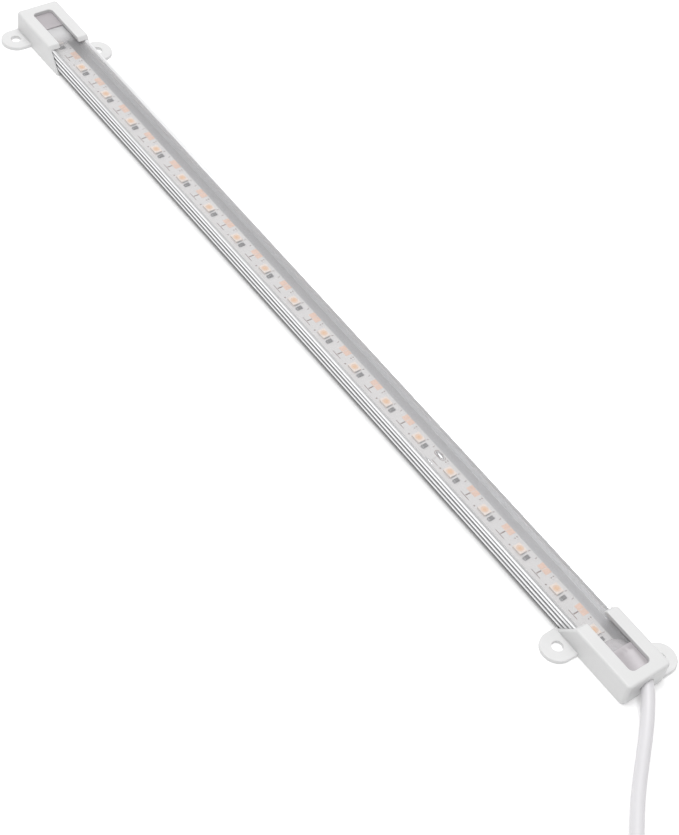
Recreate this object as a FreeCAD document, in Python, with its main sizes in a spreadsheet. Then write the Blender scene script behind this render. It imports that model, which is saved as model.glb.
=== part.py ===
import FreeCAD, Part
import math
import os

import Sketcher

# Slim USB light bar for an aquarium.
# X runs along the bar with the cable at +X, Y across it, Z up through the clear cover.
# The origin is the middle of the footprint, on the plane that the two end caps stand on.

DIMENSIONS = {
    # end caps: two alike mouldings, each one half a turn about Z from the other
    "half_length": 168.5,
    "cap_width": 16.5,
    "cap_height": 8.6,
    "cap_top_length": 22.7,
    "cap_base_length": 29.8,
    "cap_end_wall": 3.2,
    "cap_corner": 1.3,
    "cap_edge": 0.8,
    "cap_slant": 1.0,
    "cap_soft_edge": 0.3,
    "cap_clearance": 0.08,
    "window_width": 7.6,
    "window_end_wall": 3.9,
    "window_corner": 1.5,
    "ear_thickness": 1.25,
    "ear_radius": 5.25,
    "ear_offset": 11.7,
    "ear_near_end": 5.65,
    "ear_near_bar": 24.3,
    "ear_hole": 1.8,
    # aluminium channel
    "channel_half_length": 156.2,
    "channel_half_width": 7.4,
    "channel_bottom": 1.1,
    "channel_top": 7.15,
    "channel_floor": 2.3,
    "channel_inside": 6.5,
    "lip_inside": 6.25,
    "lip_crest": 6.85,
    "lip_slope": 0.2,
    "lip_thickness": 0.42,
    "ledge_bottom": 5.0,
    "ledge_top": 5.6,
    "slide_depth": 6.7,
    "flute_first": 3.05,
    "flute_pitch": 1.8,
    "flute_width": 1.0,
    "flute_depth": 0.42,
    "flute_bottom": 0.16,
    "rim_flute": 6.55,
    "rim_flute_width": 0.7,
    "rim_flute_depth": 0.3,
    "rib_round": 0.32,
    "bottom_round": 0.6,
    # clear cover
    "cover_width": 13.3,
    "cover_thickness": 1.0,
    "cover_gap": 0.06,
    # light boards, in two lengths soldered end to end
    "board_width": 6.1,
    "board_thickness": 0.3,
    "tape_thickness": 0.15,
    "tape_width": 6.1,
    "board_start": -155.9,
    "board_splice": 72.75,
    "board_end": 155.6,
    "unit_pitch": 16.667,
    "first_resistor": -149.15,
    "splice_shortening": 1.0,
    # parts on the boards
    "led_length": 3.5,
    "led_width": 2.8,
    "led_height": 0.75,
    "led_cup_radius": 1.25,
    "led_cup_depth": 0.35,
    "led_before_resistor": 3.37,
    "led_offset": -0.12,
    "resistor_length": 1.3,
    "resistor_width": 1.9,
    "resistor_height": 0.5,
    "resistor_offset": -0.3,
    "pad_before_resistor": 10.87,
    "pad_length": 1.95,
    "pad_width": 2.3,
    "pad_gap": 0.2,
    "pad_thickness": 0.06,
    "pad_offset": 1.85,
    "splice_gap": 0.1,
    "resistor_bevel": 0.08,
    "solder_rise": 0.62,
    "solder_half_width": 0.8,
    "solder_offset": 1.65,
    "negative_solder_half_width": 0.32,
    "negative_solder_offset": 2.65,
    "splice_solder_reach": 1.85,
    "wire_solder_reach": 1.1,
    "wire_solder_back": 1.4,
    "seal_gap": 0.02,
    # cable
    "cable_diameter": 4.0,
    "outlet_clearance": 0.15,
    "wire_diameter": 1.1,
    "wire_spacing": 1.3,
    # put-away coil: six turns in three layers
    "coil_x": 252.0,
    "coil_y": -30.0,
    "coil_inside": 15.9,
    "coil_outside": 28.1,
    "coil_layer": 4.2,
    "coil_height": 11.1,
    "coil_top_half": 2.2,
    "tie_width": 7.0,
    "tie_thickness": 0.8,
    # plug on the cable's end
    "plug_x": 242.0,
    "plug_y": 11.5,
    "plug_relief": 10.0,
    "plug_length": 25.0,
    "plug_width": 15.4,
    "plug_height": 7.6,
    "plug_round": 1.6,
    "shell_length": 18.75,
    "shell_inset": 4.0,
    "shell_width": 12.0,
    "shell_height": 4.5,
    "shell_wall": 0.3,
    "tongue_length": 16.5,
    "tongue_width": 11.1,
    "tongue_height": 1.85,
    "contact_length": 7.5,
    "contact_width": 1.2,
    "contact_thickness": 0.12,
    "contact_pitch": 2.25,
    "relief_collar": 3.5,
    "relief_wall": 0.5,
    "relief_groove": 0.35,
    "shell_hole": 2.4,
    "shell_hole_offset": 2.9,
    "shell_hole_back": 7.5,
}

UNITS = 19
UNITS_BEFORE_SPLICE = 14
RELIEF_RIBS = 4
TIE_ANGLE = 150.0
BOARD_TOP = "dim.channel_floor + dim.tape_thickness + dim.board_thickness"
SHEATH_END = (157.9, 2.6, 4.3)
WIRE_TURN_ALONG = 0.6
WIRE_TURN_ACROSS = 0.82

# Middle line of the cable from its sheath's end inside the cap to the coil.
LEAD_ROUTE = [
    SHEATH_END,
    (163.5, 2.2, 4.3),
    (169.0, -0.1, 4.2),
    (173.7, -4.0, 3.3),
    (178.8, -9.1, 2.4),
    (185.0, -16.3, 2.0),
    (191.1, -23.5, 2.0),
    (197.6, -30.2, 2.0),
    (204.4, -36.6, 2.0),
    (212.8, -43.1, 2.0),
    (223.0, -49.0, 2.0),
    (235.6, -53.6, 2.0),
    (248.0, -55.9, 2.0),
]

# Middle line of the cable from the coil to the plug.
TAIL_ROUTE = [
    (274.3, -39.0, 5.6),
    (277.5, -29.1, 5.8),
    (277.8, -17.5, 4.4),
    (274.0, -5.5, 2.3),
    (265.5, 4.6, 2.1),
    (253.2, 10.8, 3.2),
    (240.5, 11.5, 3.8),
]

doc = FreeCAD.newDocument("aquarium_light_bar")
sheet = doc.addObject("Spreadsheet::Sheet", "dim")
for row, (alias, value) in enumerate(DIMENSIONS.items(), start=1):
    sheet.set(f"A{row}", alias)
    sheet.set(f"B{row}", str(value))
    sheet.setAlias(f"B{row}", alias)
doc.recompute()

sub_parts = []


def size(alias):
    """The value of one of the sheet's cells."""
    return float(sheet.get(alias))


def bind(thing, **expressions):
    """Bind properties of a thing to expressions over the sheet."""
    for name, expression in expressions.items():
        thing.setExpression(name, expression)


def place(thing, x="0", y="0", z="0"):
    """Bind a thing's position."""
    thing.setExpression("Placement.Base.x", x)
    thing.setExpression("Placement.Base.y", y)
    thing.setExpression("Placement.Base.z", z)


def sub_part(thing, label):
    """Register a finished thing as one separate piece of the light."""
    thing.Label = label
    sub_parts.append(thing)
    return thing


def new_body(label):
    """An empty body for one separate piece."""
    return sub_part(doc.addObject("PartDesign::Body", label), label)


def sketch_on(body, role, name, offset="0"):
    """A sketch on one of the body's own origin planes, moved along the plane's normal."""
    sketch = body.newObject("Sketcher::SketchObject", name)
    origin_plane = [plane for plane in body.Origin.OriginFeatures if plane.Role == role][0]
    sketch.AttachmentSupport = (origin_plane, [""])
    sketch.MapMode = "FlatFace"
    sketch.setExpression("AttachmentOffset.Base.z", offset)
    return sketch


def dimension(sketch, kind, place_on, expression):
    """One driving dimension of a sketch, bound to an expression."""
    value = float(sketch.evalExpression(expression))
    index = sketch.addConstraint(Sketcher.Constraint(kind, *place_on, value))
    sketch.setExpression(f"Constraints[{index}]", expression)


def outline(sketch, corners):
    """A closed outline of straight lines, each corner at its own pair of expressions."""
    points = [
        FreeCAD.Vector(float(sketch.evalExpression(x)), float(sketch.evalExpression(y)), 0)
        for x, y in corners
    ]
    first = len(sketch.Geometry)
    count = len(corners)
    for i in range(count):
        sketch.addGeometry(Part.LineSegment(points[i], points[(i + 1) % count]), False)
    for i in range(count):
        following = first + (i + 1) % count
        sketch.addConstraint(Sketcher.Constraint("Coincident", first + i, 2, following, 1))
    for i, (x, y) in enumerate(corners):
        dimension(sketch, "DistanceX", (-1, 1, first + i, 1), x)
        dimension(sketch, "DistanceY", (-1, 1, first + i, 1), y)


def box_outline(sketch, low_x, high_x, low_y, high_y):
    """A rectangle between two pairs of expressions."""
    outline(sketch, [(low_x, low_y), (high_x, low_y), (high_x, high_y), (low_x, high_y)])


def circle(sketch, x, y, radius):
    """A circle with its centre and radius bound to expressions."""
    centre = FreeCAD.Vector(float(sketch.evalExpression(x)), float(sketch.evalExpression(y)), 0)
    index = sketch.addGeometry(
        Part.Circle(centre, FreeCAD.Vector(0, 0, 1), float(sketch.evalExpression(radius))), False
    )
    dimension(sketch, "DistanceX", (-1, 1, index, 3), x)
    dimension(sketch, "DistanceY", (-1, 1, index, 3), y)
    dimension(sketch, "Radius", (index,), radius)


def pad(body, sketch, length, symmetric=False, backwards=False):
    """Add a sketch's outline to the body."""
    feature = body.newObject("PartDesign::Pad", f"{sketch.Name}_pad")
    feature.Profile = sketch
    feature.Midplane = symmetric
    feature.Reversed = backwards
    feature.setExpression("Length", length)
    doc.recompute()
    return feature


def pocket(body, sketch, length, symmetric=False, backwards=False):
    """Cut a sketch's outline out of the body, and make sure that it cuts something."""
    before = body.Shape.Volume
    feature = body.newObject("PartDesign::Pocket", f"{sketch.Name}_pocket")
    feature.Profile = sketch
    feature.Midplane = symmetric
    feature.Reversed = backwards
    feature.setExpression("Length", length)
    doc.recompute()
    if not body.Shape.Volume < before - 1e-6:
        raise RuntimeError(f"{feature.Name} cuts nothing")
    return feature


def edges_where(shape, test):
    """The names of a shape's edges whose middle point and direction pass a test."""
    names = []
    for number, edge in enumerate(shape.Edges, start=1):
        middle = edge.valueAt((edge.FirstParameter + edge.LastParameter) / 2)
        start, end = edge.Vertexes[0].Point, edge.Vertexes[-1].Point
        if test(middle, end - start):
            names.append(f"Edge{number}")
    return names


def fillet(body, name, radius, test):
    """Round the body's edges that pass a test."""
    base = body.Tip
    feature = body.newObject("PartDesign::Fillet", name)
    feature.Base = (base, edges_where(base.Shape, test))
    feature.setExpression("Radius", radius)
    doc.recompute()
    return feature


def upright(direction):
    return abs(direction.z) > 0.99 * direction.Length > 0


def along_bar(direction):
    return abs(direction.x) > 0.99 * direction.Length > 0


def make_channel():
    """The extruded channel: a floor, two fluted walls, and a slide for the cover in each wall."""
    body = new_body("aluminium_channel")
    section = sketch_on(body, "YZ_Plane", "channel_section")
    inside = [
        ("dim.channel_half_width", "dim.channel_top"),
        ("dim.lip_crest", "dim.channel_top"),
        ("dim.lip_inside", "dim.channel_top - dim.lip_slope"),
        ("dim.lip_inside", "dim.channel_top - dim.lip_thickness"),
        ("dim.slide_depth", "dim.channel_top - dim.lip_thickness"),
        ("dim.slide_depth", "dim.ledge_top"),
        ("dim.lip_inside", "dim.ledge_top"),
        ("dim.lip_inside", "dim.ledge_bottom"),
        ("dim.channel_inside", "dim.ledge_bottom"),
        ("dim.channel_inside", "dim.channel_floor"),
    ]
    outside = [("dim.channel_half_width", "dim.channel_bottom")]
    for middle, width, depth in [
        ("dim.flute_first", "dim.flute_width", "dim.flute_depth"),
        ("dim.flute_first + dim.flute_pitch", "dim.flute_width", "dim.flute_depth"),
        ("dim.rim_flute", "dim.rim_flute_width", "dim.rim_flute_depth"),
    ]:
        deep = f"dim.channel_half_width - {depth}"
        outside += [
            ("dim.channel_half_width", f"{middle} - {width} / 2"),
            (deep, f"{middle} - dim.flute_bottom / 2"),
            (deep, f"{middle} + dim.flute_bottom / 2"),
            ("dim.channel_half_width", f"{middle} + {width} / 2"),
        ]
    right = outside + inside
    left = [(f"-({y})", z) for y, z in reversed(right)]
    outline(section, right + left)
    pad(body, section, "2 * dim.channel_half_length", symmetric=True)
    outer = size("channel_half_width") - 0.01
    low, high = size("channel_bottom") + 0.01, size("rim_flute")
    fillet(
        body, "channel_ribs", "dim.rib_round",
        lambda middle, direction: (
            along_bar(direction) and abs(middle.y) > outer and low < middle.z < high
        ),
    )
    fillet(
        body, "channel_bottom_corners", "dim.bottom_round",
        lambda middle, direction: (
            along_bar(direction) and abs(middle.y) > outer and middle.z < low
        ),
    )


def make_cover():
    """The clear flat cover, slid into the channel's walls."""
    body = new_body("clear_cover")
    section = sketch_on(body, "YZ_Plane", "cover_section")
    low = "dim.ledge_top + dim.cover_gap"
    box_outline(
        section, "-dim.cover_width / 2", "dim.cover_width / 2", low, f"{low} + dim.cover_thickness"
    )
    pad(body, section, "2 * dim.channel_half_length", symmetric=True)


def make_cap(body, label):
    """One end cap in the cable end's place, with its sleeve, window and two ears."""
    side = sketch_on(body, "XZ_Plane", f"{label}_side")
    outline(side, [
        ("dim.half_length - dim.cap_base_length", "0"),
        ("dim.half_length", "0"),
        ("dim.half_length", "dim.cap_height"),
        ("dim.half_length - dim.cap_top_length", "dim.cap_height"),
    ])
    pad(body, side, "dim.cap_width", symmetric=True)
    end = size("half_length") - 0.01
    fillet(
        body, f"{label}_corners", "dim.cap_corner",
        lambda middle, direction: upright(direction) and middle.x > end,
    )
    top = size("cap_height") - 0.01
    rim = size("half_length") - size("cap_top_length") + 0.5
    slant = size("half_length") - size("cap_top_length") + 0.01
    fillet(
        body, f"{label}_slants", "dim.cap_slant",
        lambda middle, direction: middle.x < slant and abs(direction.z) > 0.5 * direction.Length,
    )
    fillet(
        body, f"{label}_edges", "dim.cap_edge",
        lambda middle, direction: middle.z > top and middle.x > rim,
    )
    for ear, (x, y, outward) in enumerate([
        ("dim.half_length - dim.ear_near_bar", "-dim.ear_offset", -1),
        ("dim.half_length - dim.ear_near_end", "dim.ear_offset", 1),
    ]):
        web = sketch_on(body, "XY_Plane", f"{label}_ear_{ear + 1}_web")
        edges = sorted(["0", y], key=lambda e: float(web.evalExpression(e)))
        box_outline(web, f"{x} - dim.ear_radius", f"{x} + dim.ear_radius", edges[0], edges[1])
        pad(body, web, "dim.ear_thickness")
        tip = sketch_on(body, "XY_Plane", f"{label}_ear_{ear + 1}_tip")
        circle(tip, x, y, "dim.ear_radius")
        pad(body, tip, "dim.ear_thickness")
        hole = sketch_on(body, "XY_Plane", f"{label}_ear_{ear + 1}_hole")
        circle(hole, x, y, "dim.ear_hole")
        pocket(body, hole, "dim.ear_thickness", backwards=True)
    sleeve = sketch_on(body, "YZ_Plane", f"{label}_sleeve", "dim.half_length - dim.cap_end_wall")
    box_outline(
        sleeve,
        "-(dim.channel_half_width + dim.cap_clearance)",
        "dim.channel_half_width + dim.cap_clearance",
        "dim.channel_bottom - dim.cap_clearance",
        "dim.channel_top + dim.cap_clearance",
    )
    pocket(body, sleeve, "dim.cap_base_length")
    window = sketch_on(body, "XY_Plane", f"{label}_window", "dim.channel_top")
    box_outline(
        window,
        "dim.half_length - dim.cap_base_length", "dim.half_length - dim.window_end_wall",
        "-dim.window_width / 2", "dim.window_width / 2",
    )
    pocket(body, window, "dim.cap_height", backwards=True)
    rounding = size("half_length") - size("window_end_wall") - 0.01
    skin = size("channel_top")
    half_window = size("window_width") / 2
    fillet(
        body, f"{label}_window_corners", "dim.window_corner",
        lambda middle, direction: (
            upright(direction) and middle.z > skin and middle.x > rounding
            and abs(middle.y) < half_window + 0.01
        ),
    )
    opening = size("half_length") - size("cap_top_length") + 1.0
    fillet(
        body, f"{label}_window_rim", "dim.cap_soft_edge",
        lambda middle, direction: (
            middle.z > top and middle.x > opening and abs(middle.y) < half_window + 0.01
        ),
    )
    ear_top, flank = size("ear_thickness"), size("cap_width") / 2 + 0.3
    centres = [
        FreeCAD.Vector(size("half_length") - size("ear_near_bar"), -size("ear_offset"), ear_top),
        FreeCAD.Vector(size("half_length") - size("ear_near_end"), size("ear_offset"), ear_top),
    ]
    fillet(
        body, f"{label}_ear_rims", "dim.cap_soft_edge",
        lambda middle, direction: (
            abs(middle.z - ear_top) < 0.01 and abs(middle.y) > flank
            and all((middle - centre).Length > size("ear_hole") + 0.1 for centre in centres)
        ),
    )


def tube(points, radius):
    """A round tube along straight runs joined by tangent arcs, and its middle line's length.

    Each arc takes 0.45 of the shorter of its two runs, which gives it the largest radius.
    """
    corners = [FreeCAD.Vector(*point) for point in points]
    edges, at, radii = [], corners[0], []
    for before, corner, after in zip(corners, corners[1:], corners[2:]):
        back, on = before - corner, after - corner
        reach = 0.45 * min(back.Length, on.Length)
        back.normalize()
        on.normalize()
        half_turn = (math.pi - back.getAngle(on)) / 2
        start, end = corner + back * reach, corner + on * reach
        bend = reach / math.tan(half_turn)
        inward = back + on
        inward.normalize()
        middle = corner + inward * (bend / math.cos(half_turn) - bend)
        edges.append(Part.LineSegment(at, start).toShape())
        edges.append(Part.Arc(start, middle, end).toShape())
        radii.append(bend)
        at = end
    edges.append(Part.LineSegment(at, corners[-1]).toShape())
    path = Part.Wire(edges)
    ring = Part.Circle(corners[0], corners[1] - corners[0], radius)
    solid = path.makePipeShell([Part.Wire([ring.toShape()])], True, True)
    return solid, path.Length, radii


def make_tube(label, points, radius):
    """A cable or wire as a piece of its own, with its volume checked against its length."""
    solid, length, radii = tube(points, radius)
    due = math.pi * radius**2 * length
    if abs(solid.Volume / due - 1) > 0.01:
        raise RuntimeError(f"{label} has {solid.Volume:.1f} mm3, not {due:.1f}")
    print(f"{label}: {length:.1f} mm long, bend radii {[round(bend, 1) for bend in radii]}")
    piece = sub_part(doc.addObject("Part::Feature", label), label)
    piece.Shape = solid
    return piece


def box(name, x, y, z, length, width, height):
    """A block from its lowest corner and its three sizes, all of them expressions."""
    block = doc.addObject("Part::Box", name)
    bind(block, Length=length, Width=width, Height=height)
    place(block, x, y, z)
    return block


def compound(label, things):
    """Several separate solids as one group."""
    group = doc.addObject("Part::Compound", label)
    group.Links = things
    return sub_part(group, label)


def cut(name, base, tool):
    """What is left of one thing when another is taken out of it."""
    result = doc.addObject("Part::Cut", name)
    result.Base = base
    result.Tool = tool
    return result


def resistor_x(unit):
    """The place along the bar of one unit's resistor, as an expression."""
    x = f"dim.first_resistor + {unit} * dim.unit_pitch"
    return x if unit < UNITS_BEFORE_SPLICE else f"{x} - dim.splice_shortening"


def make_boards():
    """The two white light boards on their strip of adhesive tape."""
    sub_part(
        box(
            "adhesive_tape", "dim.board_start", "-dim.tape_width / 2", "dim.channel_floor",
            "dim.board_end - dim.board_start", "dim.tape_width", "dim.tape_thickness",
        ),
        "adhesive_tape",
    )
    for label, start, end in [
        ("light_board_long", "dim.board_start", "dim.board_splice"),
        ("light_board_short", "dim.board_splice + dim.splice_gap", "dim.board_end"),
    ]:
        sub_part(
            box(
                label, start, "-dim.board_width / 2", "dim.channel_floor + dim.tape_thickness",
                f"{end} - ({start})", "dim.board_width", "dim.board_thickness",
            ),
            label,
        )


def make_leds():
    """The light-emitting diodes: a white package with a cup each, and the cup's phosphor filling."""
    fillings = []
    for unit in range(UNITS):
        x = f"{resistor_x(unit)} - dim.led_before_resistor"
        package = box(
            f"led_{unit + 1}_package", f"{x} - dim.led_length / 2",
            "dim.led_offset - dim.led_width / 2", BOARD_TOP,
            "dim.led_length", "dim.led_width", "dim.led_height",
        )
        cones = []
        for use in ("cup", "phosphor"):
            cone = doc.addObject("Part::Cone", f"led_{unit + 1}_{use}")
            bind(
                cone, Radius1="dim.led_cup_radius - 0.5 * dim.led_cup_depth",
                Radius2="dim.led_cup_radius", Height="dim.led_cup_depth",
            )
            place(cone, x, "dim.led_offset", f"{BOARD_TOP} + dim.led_height - dim.led_cup_depth")
            cones.append(cone)
        sub_part(cut(f"led_{unit + 1}_body", package, cones[0]), f"led_{unit + 1:02d}")
        fillings.append(cones[1])
    compound("led_phosphors", fillings)


def make_resistors():
    """One chip resistor for each light-emitting diode."""
    for unit in range(UNITS):
        block = box(
            f"resistor_{unit + 1}_block", f"{resistor_x(unit)} - dim.resistor_length / 2",
            "dim.resistor_offset - dim.resistor_width / 2", BOARD_TOP,
            "dim.resistor_length", "dim.resistor_width", "dim.resistor_height",
        )
        doc.recompute()
        chip = doc.addObject("Part::Chamfer", f"resistor_{unit + 1}_chip")
        chip.Base = block
        bevel = size("resistor_bevel")
        chip.Edges = [(edge, bevel, bevel) for edge in range(1, len(block.Shape.Edges) + 1)]
        sub_part(chip, f"resistor_{unit + 1:02d}")


def make_pads():
    """The copper pads, one on each side of each cutting line."""
    pads = []
    for unit in range(1, UNITS):
        if unit == UNITS_BEFORE_SPLICE:
            continue
        line = f"{resistor_x(unit)} - dim.pad_before_resistor"
        for start in (f"{line} - dim.pad_gap / 2 - dim.pad_length", f"{line} + dim.pad_gap / 2"):
            pads.append(box(
                f"pad_{len(pads) + 1}", start, "dim.pad_offset - dim.pad_width / 2",
                BOARD_TOP, "dim.pad_length", "dim.pad_width", "dim.pad_thickness",
            ))
    compound("copper_pads", pads)


def make_solder():
    """Domes of solder across the boards' splice and over the two wires' ends."""
    narrow = "dim.negative_solder_half_width"
    wide = "dim.solder_half_width"
    wire_end = "dim.board_end - dim.wire_solder_back"
    domes = []
    for x, y, reach, half_width in [
        ("dim.board_splice", "-dim.negative_solder_offset", "dim.splice_solder_reach", narrow),
        ("dim.board_splice", "dim.solder_offset", "dim.splice_solder_reach", wide),
        (wire_end, "-dim.solder_offset", "dim.wire_solder_reach", wide),
        (wire_end, "dim.solder_offset", "dim.wire_solder_reach", wide),
    ]:
        dome = doc.addObject("Part::Ellipsoid", f"solder_{len(domes) + 1}")
        dome.Angle1 = 0
        bind(dome, Radius1=f"{half_width} * dim.solder_rise", Radius2=reach, Radius3=half_width)
        place(dome, x, y, BOARD_TOP)
        domes.append(dome)
    compound("solder_joints", domes)


def make_cable():
    """The cable's wires, its stretch from the cap, its put-away coil and its tail."""
    radius = size("cable_diameter") / 2
    lead = make_tube("cable_lead", LEAD_ROUTE, radius)
    make_tube("cable_tail", TAIL_ROUTE, radius)
    board_top = size("channel_floor") + size("tape_thickness") + size("board_thickness")
    solder_height = size("solder_half_width") * size("solder_rise")
    over_solder = board_top + solder_height + size("wire_diameter") / 2
    wires = []
    for label, side in (("wire_negative", -1), ("wire_positive", 1)):
        start_y = side * size("solder_offset")
        end_y = SHEATH_END[1] + side * size("wire_spacing") / 2
        start_x = size("board_end") - size("wire_solder_back") - 0.8 * size("wire_solder_reach")
        start = FreeCAD.Vector(start_x, start_y, over_solder)
        end = FreeCAD.Vector(SHEATH_END[0], end_y, SHEATH_END[2])
        turn = FreeCAD.Vector(
            start.x + WIRE_TURN_ALONG * (end.x - start.x),
            start.y + WIRE_TURN_ACROSS * (end.y - start.y),
            (start.z + end.z) / 2,
        )
        wires.append(make_tube(label, [start, turn, end], size("wire_diameter") / 2))
    return lead, wires


def make_end_seal(label, side, tool):
    """A block of clear sealant that fills the end of a cap, past the channel's end."""
    start = "dim.channel_half_length + dim.seal_gap"
    length = f"dim.half_length - dim.cap_end_wall - dim.seal_gap - ({start})"
    x = start if side > 0 else f"-({start}) - ({length})"
    block = box(
        f"{label}_block", x, "-dim.channel_half_width", "dim.channel_bottom",
        length, "2 * dim.channel_half_width", "dim.channel_top - dim.channel_bottom",
    )
    sub_part(cut(f"{label}_fill", block, tool) if tool else block, label)


def make_caps():
    """The two end caps: the same moulding twice, the cable's one with its outlet."""
    moulding = doc.addObject("PartDesign::Body", "cable_cap_moulding")
    make_cap(moulding, "cable_cap")
    outlet = doc.addObject("Part::Feature", "outlet_core")
    outlet.Shape = tube(LEAD_ROUTE[:5], size("cable_diameter") / 2 + size("outlet_clearance"))[0]
    sub_part(cut("cable_cap_finished", moulding, outlet), "end_cap_cable")
    plain = new_body("end_cap_plain")
    make_cap(plain, "plain_cap")
    plain.Placement = FreeCAD.Placement(
        FreeCAD.Vector(), FreeCAD.Rotation(FreeCAD.Vector(0, 0, 1), 180)
    )


def coil_section(grown):
    """The outline of the coil's section, from its axis outwards, grown by an expression."""
    middle = "(dim.coil_inside + dim.coil_outside) / 2"
    return [
        (f"dim.coil_inside - {grown}", "0"),
        (f"dim.coil_outside + {grown}", "0"),
        (f"dim.coil_outside + {grown}", f"dim.coil_layer + {grown}"),
        (f"{middle} + dim.coil_top_half + {grown}", f"dim.coil_height + {grown}"),
        (f"{middle} - dim.coil_top_half - {grown}", f"dim.coil_height + {grown}"),
        (f"dim.coil_inside - {grown}", f"dim.coil_layer + {grown}"),
    ]


def make_coil():
    """The outer shape of the wound-up cable, lying flat, and the tie that holds it."""
    coil = new_body("cable_coil")
    section = sketch_on(coil, "XZ_Plane", "coil_section")
    outline(section, coil_section("0"))
    ring = coil.newObject("PartDesign::Revolution", "coil_ring")
    ring.Profile = section
    ring.ReferenceAxis = (section, ["V_Axis"])
    ring.Angle = 360
    place(coil, "dim.coil_x", "dim.coil_y", "0")
    tie = new_body("cable_tie")
    band = sketch_on(tie, "XZ_Plane", "tie_band")
    outline(band, coil_section("dim.tie_thickness"))
    inner = [
        (x, z if z != "0" else "dim.tie_thickness") for x, z in coil_section("0")
    ]
    outline(band, inner)
    pad(tie, band, "dim.tie_width", symmetric=True)
    place(tie, "dim.coil_x", "dim.coil_y", "0")
    tie.Placement.Rotation = FreeCAD.Rotation(FreeCAD.Vector(0, 0, 1), TIE_ANGLE)


def make_plug():
    """The plug: a moulded body with a ribbed relief, a folded shell, a tongue and contacts.

    It is drawn along -X from the point where the cable enters it.
    """
    body = new_body("usb_plug_body")
    block = sketch_on(body, "YZ_Plane", "plug_block", "-dim.plug_relief")
    box_outline(
        block, "-dim.plug_width / 2", "dim.plug_width / 2",
        "-dim.plug_height / 2", "dim.plug_height / 2",
    )
    pad(body, block, "dim.plug_length", backwards=True)
    fillet(body, "plug_rounding", "dim.plug_round", lambda middle, direction: True)
    relief = sketch_on(body, "XZ_Plane", "plug_relief_section")
    collar, neck = "dim.relief_collar", "dim.cable_diameter / 2 + dim.relief_wall"
    steps = [("0", "0"), ("0", neck)]
    for rib in range(RELIEF_RIBS):
        rise = f"({collar} - ({neck})) * {rib + 1} / {RELIEF_RIBS}"
        start = f"-dim.plug_relief * ({rib} + 0.5) / {RELIEF_RIBS}"
        end = f"-dim.plug_relief * ({rib} + 1) / {RELIEF_RIBS}"
        steps += [(start, neck if rib == 0 else f"{neck} + {rise} - dim.relief_groove")]
        steps += [(start, f"{neck} + {rise}"), (end, f"{neck} + {rise}")]
        if rib < RELIEF_RIBS - 1:
            following = f"({collar} - ({neck})) * {rib + 2} / {RELIEF_RIBS}"
            steps += [(end, f"{neck} + {following} - dim.relief_groove")]
    steps += [("-dim.plug_relief - dim.plug_round", f"{neck} + {rise}")]
    steps += [("-dim.plug_relief - dim.plug_round", "0")]
    outline(relief, steps)
    turned = body.newObject("PartDesign::Revolution", "plug_relief")
    turned.Profile = relief
    turned.ReferenceAxis = (relief, ["H_Axis"])
    turned.Angle = 360
    mouth = sketch_on(body, "YZ_Plane", "plug_mouth", "-dim.plug_relief - dim.plug_length")
    box_outline(
        mouth, "-dim.shell_width / 2", "dim.shell_width / 2",
        "-dim.shell_height / 2", "dim.shell_height / 2",
    )
    doc.recompute()
    pocket(body, mouth, "dim.shell_inset", backwards=True)

    shell = new_body("usb_plug_shell")
    back = "-dim.plug_relief - dim.plug_length + dim.shell_inset"
    sleeve = sketch_on(shell, "YZ_Plane", "shell_sleeve", back)
    for inset in ("0", "dim.shell_wall"):
        box_outline(
            sleeve, f"-dim.shell_width / 2 + {inset}", f"dim.shell_width / 2 - {inset}",
            f"-dim.shell_height / 2 + {inset}", f"dim.shell_height / 2 - {inset}",
        )
    pad(shell, sleeve, "dim.shell_length + dim.shell_inset", backwards=True)
    windows = sketch_on(shell, "XY_Plane", "shell_windows")
    for side in ("-", ""):
        middle = f"{side}dim.shell_hole_offset"
        box_outline(
            windows, f"{back} - dim.shell_hole_back - dim.shell_hole", f"{back} - dim.shell_hole_back",
            f"{middle} - dim.shell_hole / 2", f"{middle} + dim.shell_hole / 2",
        )
    pocket(shell, windows, "dim.shell_height", symmetric=True)

    tongue = new_body("usb_plug_tongue")
    slab = sketch_on(tongue, "YZ_Plane", "tongue_slab", back)
    low = "-dim.shell_height / 2 + dim.shell_wall"
    box_outline(
        slab, "-dim.tongue_width / 2", "dim.tongue_width / 2", low, f"{low} + dim.tongue_height"
    )
    pad(tongue, slab, "dim.tongue_length + dim.shell_inset", backwards=True)

    contacts = []
    for contact in range(4):
        strip = box(
            f"contact_{contact + 1}",
            f"dim.plug_x + ({back}) - dim.shell_inset - dim.tongue_length + 1",
            f"dim.plug_y + ({contact} - 1.5) * dim.contact_pitch - dim.contact_width / 2",
            f"dim.plug_height / 2 + ({low}) + dim.tongue_height",
            "dim.contact_length", "dim.contact_width", "dim.contact_thickness",
        )
        contacts.append(strip)
    compound("usb_plug_contacts", contacts)
    for piece in (body, shell, tongue):
        place(piece, "dim.plug_x", "dim.plug_y", "dim.plug_height / 2")


make_channel()
make_cover()
make_boards()
make_leds()
make_resistors()
make_pads()
make_solder()
make_caps()
lead, wires = make_cable()
core = doc.addObject("Part::Compound", "sealed_in")
core.Links = [lead, *wires]
make_end_seal("seal_cable_end", 1, core)
make_end_seal("seal_plain_end", -1, None)
make_coil()
make_plug()

doc.recompute()
for thing in doc.Objects:
    if "Invalid" in thing.State or "Error" in thing.State:
        raise RuntimeError(f"{thing.Label} is {thing.State}")
for thing in sub_parts:
    if thing.Shape.isNull() or not thing.Shape.isValid():
        raise RuntimeError(f"{thing.Label} has no valid shape")

os.makedirs("parts", exist_ok=True)
for thing in sub_parts:
    thing.Shape.exportStep(f"parts/{thing.Label}.step")
print(len(sub_parts), "pieces written")
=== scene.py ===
import math

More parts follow.
